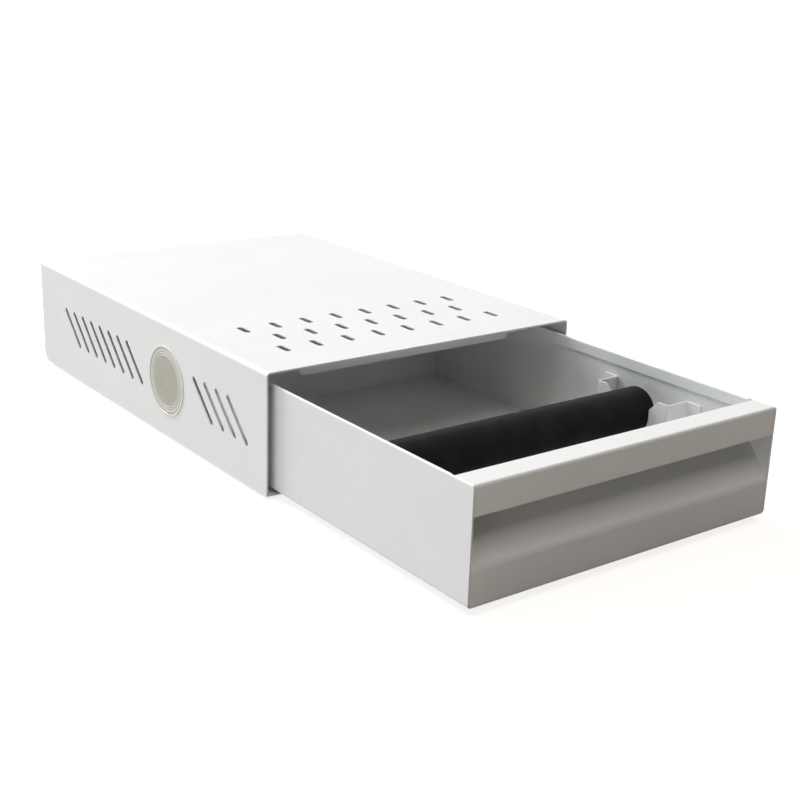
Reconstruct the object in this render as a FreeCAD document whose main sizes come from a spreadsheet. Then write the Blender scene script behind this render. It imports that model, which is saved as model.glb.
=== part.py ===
import FreeCAD, Part
import math
import os
import re
import Sketcher

# Coffee knock-out drawer: a folded sheet-steel case, open at the front and underneath, with a
# pull-out drawer that carries a removable rubber knock bar in two cradles.
# Millimetres; +Z is up, the drawer opens towards -Y and the origin is under the middle.

# Each driving dimension: its alias, its value and what it measures.
SIZES = (
    ("case_width", 260, "outer width of the case"),
    ("case_depth", 361, "outer depth of the case"),
    ("case_height", 84.5, "height of the case without its feet"),
    ("case_sheet", 1.2, "sheet thickness of the case"),
    ("case_bend", 2.8, "outer radius of the two top bends"),
    ("return_width", 24, "width of the inward return under each side"),
    ("return_relief", 12, "stretch at the rear where the returns are cut away"),
    ("corner_round", 8, "rounding of the lower rear corners of the sides"),
    ("side_slot_width", 3.8, "width of the slanted side slots"),
    ("side_slot_low", 29.4, "height of a side slot's lower centre"),
    ("side_slot_rise", 24.8, "height between a side slot's two centres"),
    ("side_slot_lean", 24.2, "how far the upper centre lies behind the lower"),
    ("side_slot_pitch", 15.75, "spacing of the side slots"),
    ("front_slots", 4, "side slots in the front group"),
    ("front_slots_start", 25.4, "first lower centre behind the case's front edge"),
    ("rear_slots", 8, "side slots in the rear group"),
    ("rear_slots_margin", 49, "last upper centre before the case's rear edge"),
    ("top_slot_width", 4.8, "width of the top slots"),
    ("top_slot_length", 14.8, "overall length of the top slots"),
    ("top_slot_pitch", 26, "spacing of the top slots along a row"),
    ("top_row_pitch", 26.5, "spacing of the three rows"),
    ("top_row_front", 42, "middle of the first row behind the front edge"),
    ("top_row_slots", 8, "slots in the outer rows; the middle row has one less"),
    ("weld_seam", 0.15, "gap at a welded butt joint"),
    ("back_inset", 6, "back panel's distance from the rear edge"),
    ("back_flange", 18.5, "depth of the back panel's lower flange"),
    ("stop_width", 183, "width of the drawer stop"),
    ("stop_setback", 22, "stop's hanging leg behind the case's front edge"),
    ("stop_leg", 20, "depth of the stop's upper leg"),
    ("stop_drop", 12.8, "how far the stop hangs below the top sheet"),
    ("stop_round", 5, "rounding of the stop's lower corners"),
    ("badge_radius", 26, "radius of the round side badges"),
    ("badge_plate", 0.4, "thickness of a badge"),
    ("badge_rim", 1.6, "width of a badge's raised rim"),
    ("badge_rim_height", 0.3, "height of that rim above the plate"),
    ("badge_back", 138, "badge centre behind the case's front edge"),
    ("badge_rise", 41.5, "badge centre above the case's lower edge"),
    ("foot_radius", 8, "radius of the rubber feet"),
    ("foot_height", 2.5, "height of the rubber feet"),
    ("foot_taper", 1, "how much narrower a foot is at the ground"),
    ("foot_inset", 13, "foot centre inside the case's side"),
    ("foot_margin", 26, "foot centre inside the case's front and rear edges"),
    ("glide_inset", 8, "glide strip inside the case's side"),
    ("glide_width", 13, "width of a glide strip"),
    ("glide_height", 1.6, "thickness of a glide strip"),
    ("glide_margin", 6, "free length of the return at each end of a glide"),
    ("glide_lead", 3, "sloped lead-in at the ends of glides and guides"),
    ("guide_length", 60, "length of a side guide"),
    ("guide_height", 10, "height of a side guide"),
    ("guide_low", 8, "side guide above the case's lower edge"),
    ("guide_back", 70, "middle of a side guide behind the case's front edge"),
    ("bumper_radius", 6, "radius of the rear bumpers"),
    ("bumper_length", 7.5, "length of the rear bumpers"),
    ("bumper_edge", 1.5, "bevel at a bumper's tip"),
    ("bumper_spread", 80, "rear bumper beside the centre line"),
    ("bumper_rise", 34, "rear bumper above the case's lower edge"),
    ("drawer_open", 198.5, "how far the drawer stands out of the case at rest"),
    ("drawer_sheet", 1, "sheet thickness of the drawer"),
    ("side_gap", 4.8, "gap between drawer and case at each side"),
    ("top_gap", 8, "gap between the drawer and the case's top sheet"),
    ("slide_gap", 0.3, "running clearance of the drawer"),
    ("tray_bend", 2.4, "outer radius of the drawer's lower bends"),
    ("hem_height", 8, "depth of the fold along the drawer's sides"),
    ("hem_gap", 0.3, "space inside that fold"),
    ("hem_end", 2, "gap between the fold and the front flange"),
    ("front_bend", 2, "outer radius of the folds around the front's flange"),
    ("scoop_bend", 7, "outer radius of the fold between lower face and sloped panel"),
    ("wall_bend", 4, "outer radius of the fold between sloped panel and inner wall"),
    ("flange_depth", 19, "depth of the drawer front's upper flange"),
    ("lip_height", 18.4, "height of the pull lip"),
    ("face_height", 23.2, "height of the flat lower face"),
    ("scoop_rise", 22.4, "height of the sloped panel behind the pull lip"),
    ("cradle_depth", 19.4, "how far a cradle stands out from the side wall"),
    ("cradle_length", 66, "length of a cradle's raised part"),
    ("cradle_flange", 12, "length of a cradle's welding flanges"),
    ("cradle_drop", 16.4, "cradle's upper edge below the drawer's rim"),
    ("cradle_low", 6.4, "cradle's lower edge above the drawer's underside"),
    ("cradle_bend", 1.8, "outer radius of a cradle's folds"),
    ("notch_flare", 7.5, "widening of the bar notch at its mouth"),
    ("notch_flare_height", 7.4, "height of that widening"),
    ("bar_radius", 16.2, "radius of the rubber knock bar"),
    ("bar_overhang", 8.2, "how far the sleeve reaches past a cradle's face"),
    ("bar_round", 3, "rounding of the sleeve's ends"),
    ("bar_back", 103.9, "bar axis behind the drawer's front face"),
    ("bar_drop", 29.3, "bar axis below the drawer's rim"),
    ("bar_seat", 0.3, "gap between the bar and its notches"),
    ("core_radius", 9, "outer radius of the steel core tube"),
    ("core_wall", 1.5, "wall of the core tube"),
    ("plug_length", 14, "length of a plug inside the core tube"),
    ("plug_cap", 1.5, "thickness of a plug's cap"),
    ("fit_gap", 0.05, "radial clearance of the sleeve and of the plugs"),
)

# Formulas that several pieces share.
CASE_FRONT = "((drawer_open - case_depth) / 2)"
CASE_UNDERSIDE = "foot_height"
DRAWER_FRONT = "(-(drawer_open + case_depth) / 2)"
DRAWER_UNDERSIDE = "(foot_height + case_sheet + glide_height + slide_gap)"
DRAWER_HEIGHT = "(case_height - 2 * case_sheet - glide_height - slide_gap - top_gap)"
DRAWER_LENGTH = "(case_depth - back_inset - case_sheet - bumper_length - slide_gap)"
DRAWER_HALF = "(case_width / 2 - case_sheet - side_gap)"
TRAY_HALF = f"({DRAWER_HALF} - drawer_sheet)"
HEM_DEPTH = "(2 * drawer_sheet + hem_gap)"
BAR_HALF = f"({TRAY_HALF} - cradle_depth + bar_overhang)"
BAR_BACK = f"({DRAWER_FRONT} + bar_back)"
BAR_RISE = f"({DRAWER_UNDERSIDE} + {DRAWER_HEIGHT} - bar_drop)"

UPRIGHT = FreeCAD.Rotation()
TURNED = FreeCAD.Rotation(FreeCAD.Vector(0, 0, 1), 180)
ALONG_X = FreeCAD.Rotation(FreeCAD.Vector(0, 1, 0), 90)
ALONG_MINUS_X = FreeCAD.Rotation(FreeCAD.Vector(0, 1, 0), -90)
FORWARDS = FreeCAD.Rotation(FreeCAD.Vector(1, 0, 0), 90)
SIDES = (("left", "-", UPRIGHT), ("right", "", TURNED))
TOLERANCE = 0.001

ALIASES = re.compile(r"\b(" + "|".join(alias for alias, value, note in SIZES) + r")\b")

doc = FreeCAD.newDocument("knock_drawer")
sheet = doc.addObject("Spreadsheet::Sheet", "Sizes")
for row, (alias, value, note) in enumerate(SIZES, start=1):
    sheet.set(f"A{row}", note)
    sheet.set(f"B{row}", str(value))
    sheet.setAlias(f"B{row}", alias)
doc.recompute()


def size(alias):
    """The number that the sheet holds under an alias."""
    return float(sheet.get(alias))


def bind(item, prop, formula):
    """Tie a property to the sheet through a formula written with its aliases."""
    item.setExpression(prop, ALIASES.sub(r"Sizes.\1", formula))


def new_body(label, x, y, z, rotation=UPRIGHT):
    """A body for one sub-part, placed by three formulas."""
    body = doc.addObject("PartDesign::Body", label)
    body.Label = label
    body.Placement = FreeCAD.Placement(FreeCAD.Vector(), rotation)
    for axis, formula in zip("xyz", (x, y, z)):
        bind(body, f"Placement.Base.{axis}", formula)
    return body


def new_sketch(body, name, plane, lift=None):
    """An empty sketch on one of the body's own planes, raised by a formula where one is given."""
    planes = {feature.Role: feature for feature in body.Origin.OriginFeatures}
    sketch = body.newObject("Sketcher::SketchObject", name)
    sketch.AttachmentSupport = (planes[plane], [""])
    sketch.MapMode = "FlatFace"
    if lift:
        bind(sketch, "AttachmentOffset.Base.z", lift)
    return sketch


def hold(sketch, geometry, point, x, y):
    """Place a sketch point by two formulas measured from the sketch's origin."""
    for kind, formula in (("DistanceX", x), ("DistanceY", y)):
        index = sketch.addConstraint(Sketcher.Constraint(kind, -1, 1, geometry, point, 1.0))
        bind(sketch, f"Constraints[{index}]", formula)


def outline(body, name, plane, corners, lift=None):
    """A closed sketch of straight lines through corners that are pairs of formulas."""
    sketch = new_sketch(body, name, plane, lift)
    count = len(corners)
    turns = [2 * math.pi * index / count for index in range(count)]
    points = [FreeCAD.Vector(math.cos(turn), math.sin(turn), 0) for turn in turns]
    for index in range(count):
        sketch.addGeometry(Part.LineSegment(points[index - 1], points[index]), False)
    for index in range(count):
        sketch.addConstraint(Sketcher.Constraint("Coincident", index - 1 if index else count - 1, 2, index, 1))
    for index, (x, y) in enumerate(corners):
        hold(sketch, index, 1, x, y)
    doc.recompute()
    return sketch


def circles(body, name, plane, x, y, radii):
    """Concentric circles about a centre that is a pair of formulas."""
    sketch = new_sketch(body, name, plane)
    for radius in radii:
        circle = Part.Circle(FreeCAD.Vector(), FreeCAD.Vector(0, 0, 1), 1)
        index = sketch.addGeometry(circle, False)
        hold(sketch, index, 3, x, y)
        bound = sketch.addConstraint(Sketcher.Constraint("Radius", index, 1.0))
        bind(sketch, f"Constraints[{bound}]", radius)
    doc.recompute()
    return sketch


def round_slot(body, name, plane, start, end, width):
    """A slot with round ends between two centres, each a pair of formulas."""
    sketch = new_sketch(body, name, plane)
    for index, centre in enumerate((start, end)):
        sketch.addGeometry(Part.Point(FreeCAD.Vector(index, index, 0)), True)
        hold(sketch, index, 1, *centre)
    doc.recompute()
    first, last = sketch.getPoint(0, 1), sketch.getPoint(1, 1)
    along = math.atan2(last.y - first.y, last.x - first.x)
    normal = FreeCAD.Vector(0, 0, 1)
    aside = FreeCAD.Vector(-math.sin(along), math.cos(along), 0) * (size(width) / 2)
    quarter = math.pi / 2
    tail = Part.ArcOfCircle(Part.Circle(first, normal, size(width) / 2), along + quarter, along + 3 * quarter)
    head = Part.ArcOfCircle(Part.Circle(last, normal, size(width) / 2), along - quarter, along + quarter)
    lower = Part.LineSegment(first - aside, last - aside)
    upper = Part.LineSegment(last + aside, first + aside)
    tail, lower, head, upper = [sketch.addGeometry(edge, False) for edge in (tail, lower, head, upper)]
    for arc, centre in ((tail, 0), (head, 1)):
        sketch.addConstraint(Sketcher.Constraint("Coincident", arc, 3, centre, 1))
    for before, after in ((tail, lower), (lower, head), (head, upper), (upper, tail)):
        sketch.addConstraint(Sketcher.Constraint("Tangent", before, 2, after, 1))
    radius = sketch.addConstraint(Sketcher.Constraint("Radius", tail, size(width) / 2))
    bind(sketch, f"Constraints[{radius}]", f"{width} / 2")
    doc.recompute()
    return sketch


def pad(body, name, sketch, length, symmetric=False, backwards=False):
    """Extrude a sketch by a formula: one way, or half to each side."""
    item = body.newObject("PartDesign::Pad", name)
    item.Profile = sketch
    item.SideType = "Symmetric" if symmetric else "One side"
    item.Reversed = backwards
    bind(item, "Length", length)
    doc.recompute()
    return item


def pocket(body, name, sketch, length, symmetric=False, backwards=False):
    """Cut a sketch into the body by a formula, and make sure that it did cut."""
    before = body.Shape.Volume
    item = body.newObject("PartDesign::Pocket", name)
    item.Profile = sketch
    item.SideType = "Symmetric" if symmetric else "One side"
    item.Reversed = backwards
    bind(item, "Length", length)
    doc.recompute()
    if body.Shape.Volume > before - TOLERANCE:
        raise RuntimeError(f"{name} of {body.Label} cuts nothing")
    return item


def repeat(body, name, feature, axis, pitch, count):
    """Repeat a feature along one of the body's axes."""
    axes = {item.Role: item for item in body.Origin.OriginFeatures}
    item = body.newObject("PartDesign::LinearPattern", name)
    item.Originals = [feature]
    item.Direction = (axes[axis], [""])
    item.Mode = "Spacing"
    bind(item, "Offset", pitch)
    bind(item, "Occurrences", count)
    body.Tip = item
    doc.recompute()
    return item


def revolve(body, name, sketch):
    """Turn a sketch on the XZ plane about the body's Z axis."""
    item = body.newObject("PartDesign::Revolution", name)
    item.Profile = sketch
    item.ReferenceAxis = (sketch, ["V_Axis"])
    doc.recompute()
    return item


def edges_at(shape, curve, **places):
    """Names of the edges of one kind that run at one of the given places on each axis."""
    names = []
    for index, edge in enumerate(shape.Edges, start=1):
        ends = [vertex.Point for vertex in edge.Vertexes]
        fits = all(
            any(all(abs(getattr(end, axis) - place) < TOLERANCE for end in ends) for place in allowed)
            for axis, allowed in places.items()
        )
        if fits and isinstance(edge.Curve, curve):
            names.append(f"Edge{index}")
    return names


def soften(body, name, radius, curve=Part.Line, **places):
    """Round the body's edges that lie at the given coordinates."""
    base = body.Tip
    item = body.newObject("PartDesign::Fillet", name)
    item.Base = (base, edges_at(base.Shape, curve, **places))
    bind(item, "Radius", radius)
    doc.recompute()
    if not item.isValid():
        raise RuntimeError(f"{name} of {body.Label} failed")
    return item


def make_case_shell():
    """Top, sides and lower returns, folded from one sheet, with all its slots."""
    body = new_body("case_shell", "0", CASE_FRONT, CASE_UNDERSIDE)
    half = "case_width / 2"
    right_side = [
        (half, "case_height"),
        (half, "0"),
        (f"{half} - return_width", "0"),
        (f"{half} - return_width", "case_sheet"),
        (f"{half} - case_sheet", "case_sheet"),
        (f"{half} - case_sheet", "case_height - case_sheet"),
    ]
    left_side = [(f"-({x})", z) for x, z in reversed(right_side)]
    profile = outline(body, "case_profile", "XZ_Plane", right_side + left_side)
    pad(body, "case_fold", profile, "case_depth", backwards=True)

    rear_strip = outline(body, "relief_outline", "XY_Plane", [
        (f"-({half} - case_sheet)", "case_depth - return_relief"),
        (f"{half} - case_sheet", "case_depth - return_relief"),
        (f"{half} - case_sheet", "case_depth"),
        (f"-({half} - case_sheet)", "case_depth"),
    ])
    pocket(body, "return_relief_cut", rear_strip, "case_sheet", backwards=True)
    soften(body, "rear_corners", "corner_round", y=[size("case_depth")], z=[0])

    outer = size("case_width") / 2
    inner = outer - size("case_sheet")
    top = size("case_height")
    soften(body, "outer_bends", "case_bend", x=[-outer, outer], z=[top])
    soften(body, "inner_bends", "case_bend - case_sheet", x=[-inner, inner], z=[top - size("case_sheet")])

    rear_start = (
        "case_depth - rear_slots_margin - side_slot_lean - (rear_slots - 1) * side_slot_pitch"
    )
    for group, start in (("front_slots", "front_slots_start"), ("rear_slots", rear_start)):
        low = (start, "side_slot_low")
        high = (f"{start} + side_slot_lean", "side_slot_low + side_slot_rise")
        slot = round_slot(body, f"{group}_outline", "YZ_Plane", low, high, "side_slot_width")
        cut = pocket(body, f"{group}_cut", slot, "2 * case_width", symmetric=True)
        repeat(body, f"{group}_row", cut, "Y_Axis", "side_slot_pitch", group)

    reach = "(top_slot_length - top_slot_width) / 2"
    for index in range(3):
        count = "(top_row_slots - 1)" if index == 1 else "top_row_slots"
        across = f"-({count} - 1) / 2 * top_slot_pitch"
        along = f"top_row_front + {index} * top_row_pitch"
        near = (across, f"{along} - {reach}")
        far = (across, f"{along} + {reach}")
        slot = round_slot(body, f"top_slot_{index}", "XY_Plane", near, far, "top_slot_width")
        cut = pocket(body, f"top_cut_{index}", slot, "2 * case_height", backwards=True)
        repeat(body, f"top_row_{index}", cut, "X_Axis", "top_slot_pitch", count)
    return body


def make_back_panel():
    """Back plate, welded in between the sides, with a flange forwards over the returns."""
    body = new_body(
        "back_panel", "0", f"{CASE_FRONT} + case_depth - back_inset", f"{CASE_UNDERSIDE} + case_sheet"
    )
    height = "case_height - 2 * case_sheet - weld_seam"
    profile = outline(body, "back_profile", "YZ_Plane", [
        ("0", "0"),
        ("0", height),
        ("-case_sheet", height),
        ("-case_sheet", "case_sheet"),
        ("-back_flange", "case_sheet"),
        ("-back_flange", "0"),
    ])
    pad(body, "back_fold", profile, "case_width - 2 * case_sheet - 2 * weld_seam", symmetric=True)
    box = body.Tip.Shape.BoundBox
    soften(body, "back_corners", "case_bend", x=[box.XMin, box.XMax], z=[box.ZMax])
    return body


def make_drawer_stop():
    """Angle under the top sheet whose hanging leg keeps the drawer from coming out."""
    body = new_body(
        "drawer_stop", "0", f"{CASE_FRONT} + stop_setback", f"{CASE_UNDERSIDE} + case_height - case_sheet"
    )
    profile = outline(body, "stop_profile", "YZ_Plane", [
        ("-stop_leg", "0"),
        ("case_sheet", "0"),
        ("case_sheet", "-stop_drop"),
        ("0", "-stop_drop"),
        ("0", "-case_sheet"),
        ("-stop_leg", "-case_sheet"),
    ])
    pad(body, "stop_fold", profile, "stop_width", symmetric=True)
    half = size("stop_width") / 2
    soften(body, "stop_corners", "stop_round", x=[-half, half], z=[-size("stop_drop")])
    return body


def make_badge(side, sign, rotation):
    """Plain round badge with a raised rim, on the outside of a case side."""
    outward = TURNED if rotation == UPRIGHT else UPRIGHT
    body = new_body(
        f"badge_{side}",
        f"{sign}case_width / 2",
        f"{CASE_FRONT} + badge_back",
        f"{CASE_UNDERSIDE} + badge_rise",
        outward,
    )
    plate = circles(body, "plate_outline", "YZ_Plane", "0", "0", ["badge_radius"])
    pad(body, "plate", plate, "badge_plate")
    rim = circles(body, "rim_outline", "YZ_Plane", "0", "0", ["badge_radius", "badge_radius - badge_rim"])
    pad(body, "rim", rim, "badge_plate + badge_rim_height")
    return body


def make_glide(side, sign):
    """Nylon strip on a lower return, on which the drawer runs."""
    length = "case_depth - back_inset - back_flange - 2 * glide_margin"
    across = f"{sign}(case_width / 2 - glide_inset - glide_width / 2)"
    body = new_body(
        f"glide_{side}", across, f"{CASE_FRONT} + glide_margin", f"{CASE_UNDERSIDE} + case_sheet"
    )
    profile = outline(body, "glide_profile", "YZ_Plane", [
        ("0", "0"),
        (length, "0"),
        (f"{length} - glide_lead", "glide_height"),
        ("glide_lead", "glide_height"),
    ])
    pad(body, "strip", profile, "glide_width", symmetric=True)
    return body


def make_guide(side, sign, rotation):
    """Nylon block on a case side that keeps the drawer centred."""
    body = new_body(
        f"guide_{side}",
        f"{sign}(case_width / 2 - case_sheet)",
        f"{CASE_FRONT} + guide_back",
        f"{CASE_UNDERSIDE} + guide_low",
        rotation,
    )
    reach = "side_gap - slide_gap"
    profile = outline(body, "guide_profile", "XY_Plane", [
        ("0", "-guide_length / 2"),
        (reach, "-guide_length / 2 + glide_lead"),
        (reach, "guide_length / 2 - glide_lead"),
        ("0", "guide_length / 2"),
    ])
    pad(body, "block", profile, "guide_height")
    return body


def make_foot(end, along, side, sign):
    """Rubber foot under a return, a little narrower at the ground."""
    body = new_body(f"foot_{end}_{side}", f"{sign}(case_width / 2 - foot_inset)", along, "0")
    profile = outline(body, "foot_profile", "XZ_Plane", [
        ("0", "0"),
        ("foot_radius - foot_taper", "0"),
        ("foot_radius", "foot_height"),
        ("0", "foot_height"),
    ])
    revolve(body, "pad_round", profile)
    return body


def make_bumper(side, sign):
    """Rubber bumper on the back panel that the closed drawer rests against."""
    body = new_body(
        f"bumper_{side}",
        f"{sign}bumper_spread",
        f"{CASE_FRONT} + case_depth - back_inset - case_sheet",
        f"{CASE_UNDERSIDE} + bumper_rise",
        FORWARDS,
    )
    profile = outline(body, "bumper_profile", "XZ_Plane", [
        ("0", "0"),
        ("bumper_radius", "0"),
        ("bumper_radius", "bumper_length - bumper_edge"),
        ("bumper_radius - bumper_edge", "bumper_length"),
        ("0", "bumper_length"),
    ])
    revolve(body, "button", profile)
    return body


def make_drawer_tray():
    """Floor and side walls of the drawer, with the walls' rims folded inwards."""
    body = new_body("drawer_tray", "0", DRAWER_FRONT, DRAWER_UNDERSIDE)
    right_wall = [
        (DRAWER_HALF, "0"),
        (DRAWER_HALF, DRAWER_HEIGHT),
        (f"{DRAWER_HALF} - {HEM_DEPTH}", DRAWER_HEIGHT),
        (f"{DRAWER_HALF} - {HEM_DEPTH}", f"{DRAWER_HEIGHT} - hem_height"),
        (f"{DRAWER_HALF} - {HEM_DEPTH} + drawer_sheet", f"{DRAWER_HEIGHT} - hem_height"),
        (f"{DRAWER_HALF} - {HEM_DEPTH} + drawer_sheet", f"{DRAWER_HEIGHT} - drawer_sheet"),
        (TRAY_HALF, f"{DRAWER_HEIGHT} - drawer_sheet"),
        (TRAY_HALF, "drawer_sheet"),
    ]
    left_wall = [(f"-({x})", z) for x, z in reversed(right_wall)]
    profile = outline(body, "tray_profile", "XZ_Plane", right_wall + left_wall)
    pad(body, "tray_fold", profile, DRAWER_LENGTH, backwards=True)

    box = body.Tip.Shape.BoundBox
    outer = box.XMax
    inner = outer - size("drawer_sheet")
    soften(body, "lower_bends", "tray_bend", x=[-outer, outer], z=[0])
    soften(body, "inner_bends", "tray_bend - drawer_sheet", x=[-inner, inner], z=[size("drawer_sheet")])
    fold = outer - size("hem_gap") - 2 * size("drawer_sheet")
    soften(body, "rim_folds", f"0.45 * {HEM_DEPTH}", x=[-outer, -fold, fold, outer], z=[box.ZMax])

    cleared = (
        ("front", "0", "flange_depth + hem_end"),
        ("rear", f"{DRAWER_LENGTH} - drawer_sheet - hem_end", DRAWER_LENGTH),
    )
    for end, start, stop in cleared:
        strip = outline(body, f"{end}_hem_outline", "XY_Plane", [
            (f"-{TRAY_HALF}", start),
            (TRAY_HALF, start),
            (TRAY_HALF, stop),
            (f"-{TRAY_HALF}", stop),
        ], lift=DRAWER_HEIGHT)
        pocket(body, f"{end}_hem_cut", strip, "hem_height")

    # The walls' front corners follow the fold of the front's flange in six short steps.
    turns = [math.radians(15 * step) for step in range(7)]
    rounding = [
        (f"front_bend * {1 - math.sin(turn):.4f}", f"{DRAWER_HEIGHT} - front_bend * {1 - math.cos(turn):.4f}")
        for turn in turns
    ]
    waste = outline(body, "front_corner_outline", "YZ_Plane", [("0", DRAWER_HEIGHT)] + rounding)
    pocket(body, "front_corner_cut", waste, "2 * case_width", symmetric=True)
    return body


def make_drawer_back():
    """Rear plate of the drawer, welded in between the side walls."""
    body = new_body(
        "drawer_back", "0", f"{DRAWER_FRONT} + {DRAWER_LENGTH} - drawer_sheet", DRAWER_UNDERSIDE
    )
    half = f"{TRAY_HALF} - weld_seam"
    profile = outline(body, "plate_profile", "XZ_Plane", [
        (f"-({half})", "drawer_sheet + weld_seam"),
        (half, "drawer_sheet + weld_seam"),
        (half, DRAWER_HEIGHT),
        (f"-({half})", DRAWER_HEIGHT),
    ])
    pad(body, "plate", profile, "drawer_sheet", backwards=True)
    box = body.Tip.Shape.BoundBox
    soften(body, "lower_corners", "tray_bend - drawer_sheet", x=[box.XMin, box.XMax], z=[box.ZMin])
    return body


def make_drawer_front():
    """Front of the drawer: lower face, sloped panel, inner wall, upper flange and pull lip."""
    body = new_body("drawer_front", "0", DRAWER_FRONT, DRAWER_UNDERSIDE)
    low = "drawer_sheet + weld_seam"
    reach = "(flange_depth - drawer_sheet)"
    shift = f"drawer_sheet * (sqrt({reach} ^ 2 + scoop_rise ^ 2) - scoop_rise) / {reach}"
    profile = outline(body, "front_profile", "YZ_Plane", [
        ("0", low),
        ("0", "face_height"),
        (reach, "face_height + scoop_rise"),
        (reach, f"{DRAWER_HEIGHT} - drawer_sheet"),
        ("drawer_sheet", f"{DRAWER_HEIGHT} - drawer_sheet"),
        ("drawer_sheet", f"{DRAWER_HEIGHT} - lip_height"),
        ("0", f"{DRAWER_HEIGHT} - lip_height"),
        ("0", DRAWER_HEIGHT),
        ("flange_depth", DRAWER_HEIGHT),
        ("flange_depth", f"face_height + scoop_rise - {shift}"),
        ("drawer_sheet", f"face_height - {shift}"),
        ("drawer_sheet", low),
    ])
    pad(body, "front_fold", profile, f"2 * ({TRAY_HALF} - weld_seam)", symmetric=True)
    box = body.Tip.Shape.BoundBox
    sides = [box.XMin, box.XMax]
    soften(body, "lower_corners", "tray_bend - drawer_sheet", x=sides, z=[box.ZMin])
    thin = size("drawer_sheet")
    depth = size("flange_depth")
    face = size("face_height")
    crest = face + size("scoop_rise")
    rise = size("scoop_rise")
    back_drop = thin * (math.hypot(depth - thin, rise) - rise) / (depth - thin)
    soften(body, "flange_folds", "front_bend", y=[0, depth], z=[box.ZMax])
    soften(body, "flange_insides", "front_bend - drawer_sheet", y=[thin, depth - thin], z=[box.ZMax - thin])
    soften(body, "scoop_fold", "scoop_bend", y=[0], z=[face])
    soften(body, "scoop_inside", "scoop_bend - drawer_sheet", y=[thin], z=[face - back_drop])
    soften(body, "wall_fold", "wall_bend", y=[depth], z=[crest - back_drop])
    soften(body, "wall_inside", "wall_bend - drawer_sheet", y=[depth - thin], z=[crest])
    return body


def make_cradle(side, sign, rotation):
    """Hat-section cradle on a side wall, with an open notch for the bar."""
    body = new_body(
        f"cradle_{side}", f"{sign}{TRAY_HALF}", BAR_BACK, DRAWER_UNDERSIDE, rotation
    )
    web = "cradle_length / 2"
    front_half = [
        ("0", f"-({web} + cradle_flange)"),
        ("drawer_sheet", f"-({web} + cradle_flange)"),
        ("drawer_sheet", f"-{web}"),
        ("cradle_depth", f"-{web}"),
    ]
    hollow_half = [
        ("0", f"{web} - drawer_sheet"),
        ("cradle_depth - drawer_sheet", f"{web} - drawer_sheet"),
    ]
    mirrored = [(x, f"-({y})") for x, y in reversed(front_half)]
    hollow = hollow_half + [(x, f"-({y})") for x, y in reversed(hollow_half)]
    profile = outline(body, "hat_profile", "XY_Plane", front_half + mirrored + hollow, lift="cradle_low")
    pad(body, "hat_fold", profile, f"{DRAWER_HEIGHT} - cradle_drop - cradle_low")

    thin = size("drawer_sheet")
    depth = size("cradle_depth")
    outside = size("cradle_length") / 2
    inside = outside - thin
    soften(body, "crown_folds", "cradle_bend", x=[depth], y=[-outside, outside])
    soften(body, "crown_insides", "cradle_bend - drawer_sheet", x=[depth - thin], y=[-inside, inside])
    soften(body, "root_folds", "cradle_bend", x=[0], y=[-inside, inside])
    soften(body, "root_insides", "cradle_bend - drawer_sheet", x=[thin], y=[-outside, outside])

    notch = "bar_radius + bar_seat"
    axis_rise = f"({DRAWER_HEIGHT} - bar_drop)"
    mouth = f"({DRAWER_HEIGHT} - cradle_drop)"
    throat = f"{mouth} - notch_flare_height"
    rear_edge = [
        (notch, axis_rise),
        (notch, throat),
        (f"{notch} + notch_flare", mouth),
    ]
    front_edge = [(f"-({y})", z) for y, z in reversed(rear_edge)]
    mouth_outline = outline(body, "notch_outline", "YZ_Plane", rear_edge + front_edge)
    pocket(body, "notch_cut", mouth_outline, "2 * cradle_depth", symmetric=True)
    seat_outline = circles(body, "seat_outline", "YZ_Plane", "0", axis_rise, [notch])
    pocket(body, "seat_cut", seat_outline, "2 * cradle_depth", symmetric=True)
    return body


def make_bar_sleeve():
    """Thick rubber sleeve that takes the knocks."""
    body = new_body("bar_sleeve", "0", BAR_BACK, BAR_RISE, ALONG_X)
    profile = outline(body, "sleeve_profile", "XZ_Plane", [
        ("core_radius + fit_gap", f"-{BAR_HALF}"),
        ("bar_radius", f"-{BAR_HALF}"),
        ("bar_radius", BAR_HALF),
        ("core_radius + fit_gap", BAR_HALF),
    ])
    revolve(body, "sleeve_round", profile)
    box = body.Tip.Shape.BoundBox
    soften(body, "sleeve_ends", "bar_round", Part.Circle, x=[size("bar_radius")], z=[box.ZMin, box.ZMax])
    return body


def make_bar_core():
    """Steel tube inside the sleeve."""
    body = new_body("bar_core", "0", BAR_BACK, BAR_RISE, ALONG_X)
    profile = outline(body, "core_profile", "XZ_Plane", [
        ("core_radius - core_wall", f"-{BAR_HALF}"),
        ("core_radius", f"-{BAR_HALF}"),
        ("core_radius", BAR_HALF),
        ("core_radius - core_wall", BAR_HALF),
    ])
    revolve(body, "tube_round", profile)
    return body


def make_bar_plug(side, sign, rotation):
    """Plastic plug that closes an end of the core tube."""
    body = new_body(f"bar_plug_{side}", f"{sign}{BAR_HALF}", BAR_BACK, BAR_RISE, rotation)
    stem = "core_radius - core_wall - fit_gap"
    profile = outline(body, "plug_profile", "XZ_Plane", [
        ("0", "-plug_length"),
        (stem, "-plug_length"),
        (stem, "0"),
        ("core_radius", "0"),
        ("core_radius", "plug_cap"),
        ("0", "plug_cap"),
    ])
    revolve(body, "plug_round", profile)
    soften(body, "cap_edge", "plug_cap / 2", Part.Circle, x=[size("core_radius")], z=[size("plug_cap")])
    return body


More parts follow.
